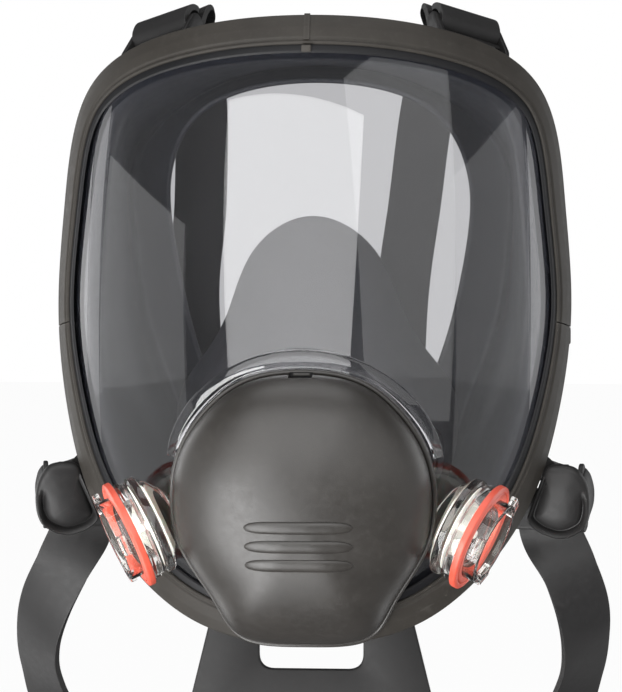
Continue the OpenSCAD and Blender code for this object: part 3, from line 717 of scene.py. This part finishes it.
def make_face_seal():
    """The seal's wall: held in the frame, back to a crease, then in to the edge of its opening."""
    fold, window = spline(FOLD_OUTLINE, AROUND), spline(WINDOW_OUTLINE, AROUND)
    depth = 10 - np.where(fold[:, 1] > 0, 30, 24) * (fold[:, 1] / 95) ** 2
    held, leave, past = (band_point(AROUND, inward, outward)
                         for inward, outward in ((3.6, -4.9), (10.6, -4.9), (10.5, -10.8)))
    crease = np.column_stack([fold[:, 0], depth, fold[:, 1]])
    edge = np.column_stack([window[:, 0], depth - 7, window[:, 1]])
    stations = [held, leave, past, mix(past, crease, 0.35), mix(past, crease, 0.7),
                mix(leave, crease, 0.93), mix(crease, edge, 0.12) + (0, 2, 0),
                mix(crease, edge, 0.5) + (0, 2.2, 0), mix(crease, edge, 0.8) + (0, 1, 0), edge]
    straight = np.stack([mix(held, leave, t) for t in np.linspace(0, 0.9, 6)], 1)
    curved = np.stack([route([s[i] for s in stations[1:]], np.linspace(0, 1, 64))
                       for i in range(len(AROUND))])
    wall = skin(np.concatenate([straight, curved], 1), SEAL_T / 2, -SEAL_T / 2)
    piece("face_seal", wall, SEAL, stands_for=["face_seal"])


def cup_grid():
    """The cup's outside, from the adapter's rim out over a knee and back to the face."""
    circle = [CUP_RIM_R * np.sin(ANGLES), CUP_RIM_R * np.cos(ANGLES)]
    front, grip = (placed(np.column_stack([*circle, np.full(len(ANGLES), h)]), ADAPTER)
                   for h in (-17.6, -22))
    p = spline(CUP_OUTLINE, AROUND)
    slope = np.where(p[:, 1] > -20, 0.4 * (p[:, 1] + 20), 0.1 * (-20 - p[:, 1]))
    rear = np.column_stack([p[:, 0], -17 - slope, p[:, 1]])
    outward = unit(np.column_stack([grip[:, 0], np.zeros(len(grip)), grip[:, 2] - ADAPTER_Z]))
    knee = mix(grip, rear, 0.35) + 3 * outward
    lip = mix(rear, np.column_stack([np.zeros(len(rear)), rear[:, 1], np.full(len(rear), -30)]), 0.06)
    stations = [front, grip, mix(grip, knee, 0.5), knee, mix(knee, rear, 0.35), mix(knee, rear, 0.7),
                rear, lip + (0, 1, 0)]
    return np.stack([route([s[i] for s in stations], np.linspace(0, 1, 60))
                     for i in range(len(AROUND))])


def make_nose_cup():
    """The nose cup, with a round hole cut for each of its valves."""
    cup = piece("nose_cup", skin(cup_grid(), CUP_T, 0), CUP, stands_for=["nose_cup"])
    points, faces = in_place(sweep(circles([(CUP_VALVE_R, -12), (CUP_VALVE_R, 12)], 64)), CUP_VALVE)
    cut(cup, (points * (-1, 1, 1), [face[::-1] for face in faces]))
    cut(cup, (points, faces))


def flap(radius, thickness, stem, bulb, low, high):
    """A mushroom valve: a thin disc on a stem that ends in a bulb. Heights are along its axis."""
    top = low + thickness
    return solid_of([(0.01, low), (radius, low + 0.1), (radius, top), (stem + 0.8, top),
                     (stem, top + 0.5), (stem, high - 1.4), (bulb, high - 1), (bulb * 0.6, high),
                     (0.01, high)], 0.25, 72)


def make_nose_valves():
    """The two flaps that cover the nose cup's holes."""
    shape = in_place(flap(CUP_VALVE_R - 2, 0.8, 1, 1.6, -1.9, 3.6), CUP_VALVE)
    for name, side in SIDES.items():
        node = f"nose_valve_flap_{name}"
        piece(node, shape, VALVE, body=node, side=side, stands_for=[node])


make_face_seal()
make_nose_cup()
make_nose_valves()

# ---- Adapter, exhalation valve and cover ----


def make_adapter_soft_parts():
    """The adapter's gasket, the speaking diaphragm's waved film and the exhalation flap."""
    inner, outer, back, front = APERTURE_R - 0.1, APERTURE_R + 2.4, 1.05, 2.15
    gasket = ring_of([(inner, back), (outer, back), (outer, front), (inner, front)], 0.35)
    piece("adapter_gasket", in_place(gasket, ADAPTER), BLACK, stands_for=["adapter_gasket"])
    waves = [(r, 1.3 + 0.12 * math.cos(r * 1.9)) for r in np.linspace(0.01, DIAPHRAGM_R - 0.6, 24)]
    film = [(r, h - 0.22) for r, h in waves] + [(DIAPHRAGM_R + 1, 1.06), (DIAPHRAGM_R + 1, 1.52)]
    film = sweep(circles(film + [(r, h + 0.18) for r, h in waves[::-1]]))
    piece("speaking_diaphragm", in_place(film, ADAPTER, DIAPHRAGM_AT), VALVE,
          stands_for=["speaking_diaphragm"])
    profile = [(0.01, -4.5), (1.5, -4.5), (2.1, -3.9), (2.1, -3.1), (1.5, -2.8), (1.5, 2.5),
               (VALVE_R + 0.6, 2.5), (VALVE_R + 0.6, 3.1), (3, 3.45), (0.01, 3.45)]
    piece("exhale_flap", in_place(solid_of(profile, 0.2), ADAPTER, VALVE_AT), VALVE,
          body="exhale_flap", stands_for=["exhale_flap"])


def cover_rim_y(edge):
    """The depth of the cover's rim: just off the lens, and off the frame at the bottom."""
    x, z = edge.T
    return lens_y(x, z) - 1.7 - 2.4 * np.clip((-86 - z) / 8, 0, 1)


def cover_grid():
    """The cover's outside: a dome, a small step, and a flange that ends in the rim."""
    edge = spline(COVER_OUTLINE, AROUND)
    rows, last, reach = [], 84, 0.965  # the dome's last angle, and how far out it is by then
    for a in np.radians(np.concatenate([[0.25], np.linspace(2, last, 46)])):
        p = mix(COVER_CENTRE, edge, reach * math.sin(a) / math.sin(math.radians(last)))
        y = lens_y(0, p[:, 1]) - 1.5 - COVER_H * max(math.cos(a), 0) ** 0.7
        rows.append(np.column_stack([p[:, 0], y, p[:, 1]]))
    rim = cover_rim_y(edge)
    shoulder = np.minimum(lens_y(0, edge[:, 1]) - 3, rim - 2)
    for inset, drop in ((0.035, 1.1), (0.03, 1.4), (0.012, 1.5), (0.004, 1.2), (0, 0.4)):
        p = mix(edge, COVER_CENTRE, inset)
        rows.append(np.column_stack([p[:, 0], shoulder + 1.6 - drop, p[:, 1]]))
    rows.append(np.column_stack([edge[:, 0], rim, edge[:, 1]]))
    return np.stack(rows, 1)


def make_cover():
    """The cover with its latch slot cut through, the latch, and a black block behind the slot as
    painted shade.
    """
    grid = cover_grid()
    cover = piece("centre_cover", dome(grid, COVER_T, grid_normals(grid)), COVER,
                  body="centre_cover", stands_for=["centre_cover"], sharp=50)
    x, (low, high), back = LATCH_X, LATCH_Z, -99
    cut(cover, block((-x, -130, low), (x, -90, high), 0.3, 2))
    # A black block behind the slot: painted shade for the dark gap between the cover and the lens.
    painted_shade_block = block((0.1 - x, back - 1.2, low + 0.05), (x - 0.1, back, high - 0.05), 0.2)
    piece("cover_latch_painted_shade", painted_shade_block, BLACK, body="centre_cover")
    latch = block((1.1 - x, back - 1.9, low + 0.5), (x - 1.1, back, high - 0.1), 0.3)
    piece("cover_latch", latch, COVER, body="centre_cover")
    return cover


def make_cover_ribs(cover):
    """Three raised grip bars on the front of the cover, which follow its surface."""
    bm = bmesh.new()
    bm.from_mesh(cover.data)
    tree = BVHTree.FromBMesh(bm)
    bm.free()
    half, tall, raised = 18, 2.1, 0.9
    for row, z in enumerate((-64.5, -71, -77.5)):
        rings = []
        for x in np.linspace(-half, half, 60):
            fade = math.sqrt(max(0.02, 1 - (abs(x) / half) ** 6))
            section = []
            for a in np.linspace(0, 2 * math.pi, 20, endpoint=False):
                up, out = tall * fade * math.cos(a), raised * fade * math.sin(a)
                hit = tree.ray_cast(Vector((x * MM, -0.3, (z + up) * MM)), Vector((0, 1, 0)))[0]
                section.append((x, hit.y / MM - max(out, -0.4), z + up))
            rings.append(section)
        piece(f"cover_grip_bar_{row + 1}", sweep(rings), COVER, body="centre_cover")


make_adapter_soft_parts()
make_cover_ribs(make_cover())

# ---- Cartridge ports ----


def port_root():
    """The neck between the lens and the port's angled head: circles that turn as they move."""
    foot, head = lens_point(PORT_FOOT), placed((0, 0, -8.8), PORT)
    foot_turn, head_turn = axis_matrix(lens_normal(PORT_FOOT)), PORT[1]
    rings = []
    for t in np.linspace(0, 1, 14):
        ease = t * t * (3 - 2 * t)
        centre = mix(foot - 3.5 * foot_turn[:, 2], head, t)
        normal = unit(mix(foot_turn[:, 2], head_turn[:, 2], ease))
        radius = NECK_R + (GASKET_R - 3.2 - NECK_R) * ease
        turn = axis_matrix(normal)
        rings.append(centre + circles([(radius, 0)], 72)[0] @ turn.T)
    return sweep(rings)


def make_port(name, side):
    """A clear port: its grooved head, the neck, three bayonet lugs and the red gasket."""
    head = [(0.01, -8.6), (GASKET_R - 3, -9), (GASKET_R - 1.4, -8), (GASKET_R - 1.4, -5.4),
            (GASKET_R - 2.2, -5), (GASKET_R - 2.2, -3.2), (GASKET_R - 1.4, -2.8), (GASKET_R - 1.4, 0),
            (PORT_R + 2.4, 0), (PORT_R + 2.4, 7), (PORT_R, 7), (PORT_R, -0.2), (PORT_R - 1, -0.2),
            (PORT_R - 1, -4), (0.01, -4)]
    piece(f"port_head_{name}", in_place(solid_of(head, 0.4), PORT), CLEAR_PORT, side=side,
          stands_for=[f"port_body_{name}"])
    piece(f"port_neck_{name}", port_root(), CLEAR_PORT, side=side)
    points, faces = block((PORT_R + 1, -3.5, 4.4), (PORT_R + 5.2, 3.5, 6.8), 0.5)
    lugs = [(placed(points @ turn_matrix((0, 0, angle)).T, PORT), faces) for angle in (30, 150, 270)]
    piece(f"port_lugs_{name}", joined(lugs), CLEAR_PORT, side=side)
    groove, face = GASKET_R - 2.1, 2.65
    profile = [(PORT_R + 2.45, 0.05), (GASKET_R, 0.05), (GASKET_R, face - 0.5), (GASKET_R - 1.2, face),
               (groove + 0.3, face), (groove, face - 0.6), (groove - 0.5, face), (PORT_R + 2.45, face)]
    piece(f"port_gasket_{name}", in_place(ring_of(profile, 0.35), PORT), RED, side=side,
          stands_for=[f"port_gasket_{name}"])


def make_inhale_flap(name, side):
    """The inhalation valve's flap, inside the port's head."""
    node = f"inhale_flap_{name}"
    shape = in_place(flap(PORT_R - 2, 0.9, 1.2, 1.9, -6.6, -0.9), PORT)
    piece(node, shape, VALVE, body=node, side=side, stands_for=[node])


for port_name, port_side in SIDES.items():
    make_port(port_name, port_side)
    make_inhale_flap(port_name, port_side)

# ---- Harness ----


def wrap(kind):
    """The end of a strap: its tail, then its turn round the buckle's bar, in the frame's axes."""
    facing = 1 if kind == "upper" else -1
    arc = [(WRAP_R * math.sin(a), BAR_AT - WRAP_R * math.cos(a))
           for a in np.radians(range(-90, 91, 36))]
    flat = [(y, BAR_AT + z) for y, z in BUCKLES[kind]["tail"]]
    flat += [*arc, (WRAP_R, BAR_AT + 7), (WRAP_R + 0.4, BAR_AT + 15)]
    return [placed((0, facing * y, z), BUCKLE[kind]) for y, z in flat]


def strap_shape(points, wide, rings, ribs):
    """A flat strap with rounded edges, wide at its wrap and rounded at its end. ribs is
    (first s, last s, number) of the ribbed stretch."""
    s = np.linspace(0, 1, rings)
    at = route(points, s)
    along = unit(route(points, np.clip(s + 0.01, 0, 1)) - route(points, np.clip(s - 0.01, 0, 1)))
    side = route(wide, s)
    side = unit(side - (side * along).sum(1, keepdims=True) * along)
    thick = np.cross(along, side)
    half_t = np.full(rings, STRAP_T / 2)
    if ribs:
        first, last, number = ribs
        inside = np.clip((s - first) * 60, 0, 1) * np.clip((last - s) * 60, 0, 1)
        half_t += 0.16 * inside * (np.cos((s - first) / (last - first) * number * 2 * math.pi) - 1)
    section = rounded([(-1, -1), (-0.55, -1), (0, -1), (0.55, -1), (1, -1), (1, 1), (0.55, 1), (0, 1),
                       (-0.55, 1), (-1, 1)], 0.06, steps=3)
    length = np.concatenate([[0], np.cumsum(np.linalg.norm(np.diff(at, axis=0), axis=1))])
    half_w = np.interp(length, [0, 22, 50], [WRAP_W, WRAP_W, STRAP_W]) / 2
    corner = 3
    half_w -= corner - np.sqrt(corner**2 - np.clip(corner - length, 0, corner - 0.05) ** 2)
    rows = [at + x * half_w[:, None] * side + y * half_t[:, None] * thick for x, y in section]
    return sweep(np.stack(rows, 1))


def make_strap(kind, name, side, down, turns, start, end, rings, ribs=None):
    """A strap from its buckle down the points given. The arguments end, a distance from the pin, and
    start, a point of its route, are not used."""
    first = wrap(kind)
    wide = [BUCKLE[kind][1][:, 0]] * len(first) + [np.array(t, float) for t in turns]
    shape = strap_shape(first + [np.array(p, float) for p in down], wide, rings, ribs)
    node = f"{kind}_strap_{name}"
    strap = piece(node, shape, STRAP, side=side, stands_for=[node], rides=False)
    start = np.array(start) * (side, 1, 1) * MM
    end = placed((0, 0, end), BUCKLE[kind]) * (side, 1, 1) * MM
    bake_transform(strap)


def make_upper_strap(name, side):
    """An upper strap, which falls behind the head. The two lean differently."""
    across = {"left": (50, 46.5, 47.5, 50.4, 44, 30), "right": (49, 40.5, 35, 30, 28, 30)}[name]
    down = list(zip(across, (-4, 12, 20, 21, 20, CRADLE_Y + 1), (106, 84, 45, 5, -60, -112)))
    down[-1] = (down[-1][0] + side * CRADLE_X, *down[-1][1:])
    make_strap("upper", name, side, down, [(1, 0, 0)] * len(down), (50, -2, 104), BAR_AT + 9, 1400,
               ribs=(0.6, 0.76, 60))


def make_lower_strap(name, side):
    """A lower strap, which swings out and down, turns on edge and comes in to the cradle."""
    sway = side * CRADLE_X
    down = [(92, -33, -88), (98.5 + 0.3 * sway, -26, -103), (101.5 + 0.6 * sway, -18, -117),
            (101 + 0.8 * sway, -9, -131), (95 + sway, 2, -149), (78 + sway, 12, -164),
            (60 + sway, 16, -166), (44 + sway, CRADLE_Y, -158)]
    turns = [(0.98, 0.05, 0.1), (0.9, 0.35, 0.05), (0.78, 0.6, 0), (0.7, 0.68, -0.1),
             (0.6, 0.6, -0.5), (0.3, 0.25, -0.85), (0, 0, -1), (0, 0, -1)]
    make_strap("lower", name, side, down, turns, (86, -31, -95), BAR_AT + 13, 480)


def cheeks(kind):
    """The two side plates of a buckle, with round ends at the pin, and its cross bar."""
    front, length = BUCKLES[kind]["front"], BUCKLES[kind]["length"]
    parts, bar_end_r = [], 3.2
    half_turn = np.linspace(0, math.pi, 13)
    arc = [(-PIN_END_R * math.cos(a), -PIN_END_R * math.sin(a)) for a in half_turn]
    if kind == "upper":
        back = [(bar_end_r * math.cos(a), BAR_AT + bar_end_r * math.sin(a)) for a in half_turn]
    else:
        back = [(front - 0.6, 5), (front, 9), (front, length - 5), (front - 0.8, length - 2),
                (front - 2.6, length - 0.4), (front - 4.5, length), (-1.6, length), (-3, length - 1),
                (-PIN_END_R, length - 3)]
    for low in (-BUCKLE_OUT, BUCKLE_IN):
        points, faces = plate(np.array(arc + back), low, low + BUCKLE_OUT - BUCKLE_IN, 0.5)
        parts.append((points[:, [2, 0, 1]], faces))
    (y0, z0), (y1, z1) = BUCKLES[kind]["cross"]
    parts.append(block((-BUCKLE_OUT + 0.2, y0, z0), (BUCKLE_OUT - 0.2, y1, z1), 0.6))
    return parts


def face_plate():
    """The lower buckle's front: a crowned face with a groove and a raised lip round its end.
    Its rings are (share of the outline, height), mixed from the plain side to the lipped end."""
    outline = rounded(FACE_OUTLINE, 9, steps=10)
    middle = np.array([4.5, 9.5])
    lip = np.clip((outline[:, 1] - 1) / 9, 0, 1)
    lip = (lip * lip * (3 - 2 * lip))[:, None]
    with_lip = [(1, 0), (1.012, 1), (1.01, 2.2), (0.985, 3.3), (0.94, 3.8), (0.88, 3.4),
                (0.83, 2.2), (0.8, 1.5), (0.775, 1.5), (0.745, 2.4), (0.68, 3.2), (0.55, 3.9),
                (0.3, 4.4), (0.01, 4.5)]
    plain = [(1, 0), (1.01, 0.8), (1, 1.7), (0.975, 2.3), (0.93, 2.7), (0.88, 2.95), (0.84, 3.1),
             (0.81, 3.2), (0.78, 3.3), (0.745, 3.4), (0.68, 3.6), (0.55, 4), (0.3, 4.4), (0.01, 4.5)]
    front = BUCKLES["lower"]["front"] - 0.2
    rows = [np.column_stack([middle + (outline - middle) * 0.01, np.full(len(outline), front)])]
    for (k1, h1), (k0, h0) in zip(with_lip, plain):
        k, h = mix(k0, k1, lip), front + mix(h0, h1, lip)
        rows.append(np.column_stack([middle + (outline - middle) * k, h]))
    points, faces = sweep(np.stack(rows))
    return points[:, [0, 2, 1]], faces


def outer_wall():
    """The wall that joins the lower buckle's face to its outer cheek."""
    outline = [(11.6, -0.5), (13.8, -1), (15.6, 1.5), (16.8, 7), (16.3, 13), (14.5, 18), (11.6, 20.2)]
    points, faces = plate(rounded(outline, 3), -PIN_END_R, BUCKLES["lower"]["front"] + 0.3, 0.5)
    return points[:, [0, 2, 1]], faces


def make_buckle(kind, name, side):
    """A buckle without its bar and its pin, which stay as they are in the CAD."""
    node, parts = f"{kind}_buckle_{name}", cheeks(kind)
    if kind == "lower":
        parts += [face_plate(), outer_wall()]
    piece(node, in_place(joined(parts), BUCKLE[kind]), GLOSSY, body=node, side=side, stands_for=[node])


def make_anchor(kind, name, side):
    """The block that holds a buckle's pin to the back of the frame."""
    start, end = BUCKLES[kind]["seat"]
    half, radius = 8.5, 3  # of the round end that the pin goes through
    foot = [band_point([u], inward, outward)[0] for u, inward, outward in (
        (start, 0.8, -6.5), (end, 0.8, -6.5), (end, 0.4, -1.5), (start, 0.4, -1.5))]
    rings = []
    for t in (0, 0.25, 0.5, 0.75, 1):
        z = 2.8 * t
        bar = placed([(half, 0, -z), (-half, 0, -z), (-half, 0, z), (half, 0, z)], BUCKLE[kind])
        rings.append(mix(foot, bar, t))
    points, faces = solid_of([(0.01, -half), (radius, -half), (radius, half), (0.01, half)], 0.6, 40)
    hub = in_place((points[:, [2, 0, 1]], faces), BUCKLE[kind])
    piece(f"{kind}_anchor_{name}", joined([sweep(rings), hub]), DARK, side=side,
          stands_for=[f"{kind}_anchor_{name}"])


def make_head_cradle():
    """The flat sheet that the four straps end in, with its slot."""
    outline = rounded([(-37, -106), (37, -106), (53, -171), (-53, -171)], 9, steps=14)
    hole = rounded([(-20, -117), (20, -117), (20, -134), (-20, -134)], 6, steps=14)
    points, faces = plate(outline, CRADLE_Y - STRAP_T / 2, CRADLE_Y + STRAP_T / 2, 0.9, hole)
    piece("head_cradle", (points[:, [0, 2, 1]] + (CRADLE_X, 0, 0), faces), STRAP,
          stands_for=["head_cradle"])


for side_name, side_sign in SIDES.items():
    make_upper_strap(side_name, side_sign)
    make_lower_strap(side_name, side_sign)
    for buckle_kind in BUCKLES:
        make_buckle(buckle_kind, side_name, side_sign)
        make_anchor(buckle_kind, side_name, side_sign)
make_head_cradle()

# ---- CAD parts that stay, with softened edges and their own finish ----

NODE_SLOTS = {part["node"]: part["material_slot"] for part in frame["record"]["subparts"]}
for node_name, node in frame["nodes"].items():
    if node.hide_render:
        continue
    node.data.materials.clear()
    node.data.materials.append(SLOT_MATERIALS[NODE_SLOTS[node_name]])
    soften = node.modifiers.new("soft_edges", "BEVEL")
    soften.width, soften.segments, soften.limit_method = 0.25 * MM, 2, "ANGLE"
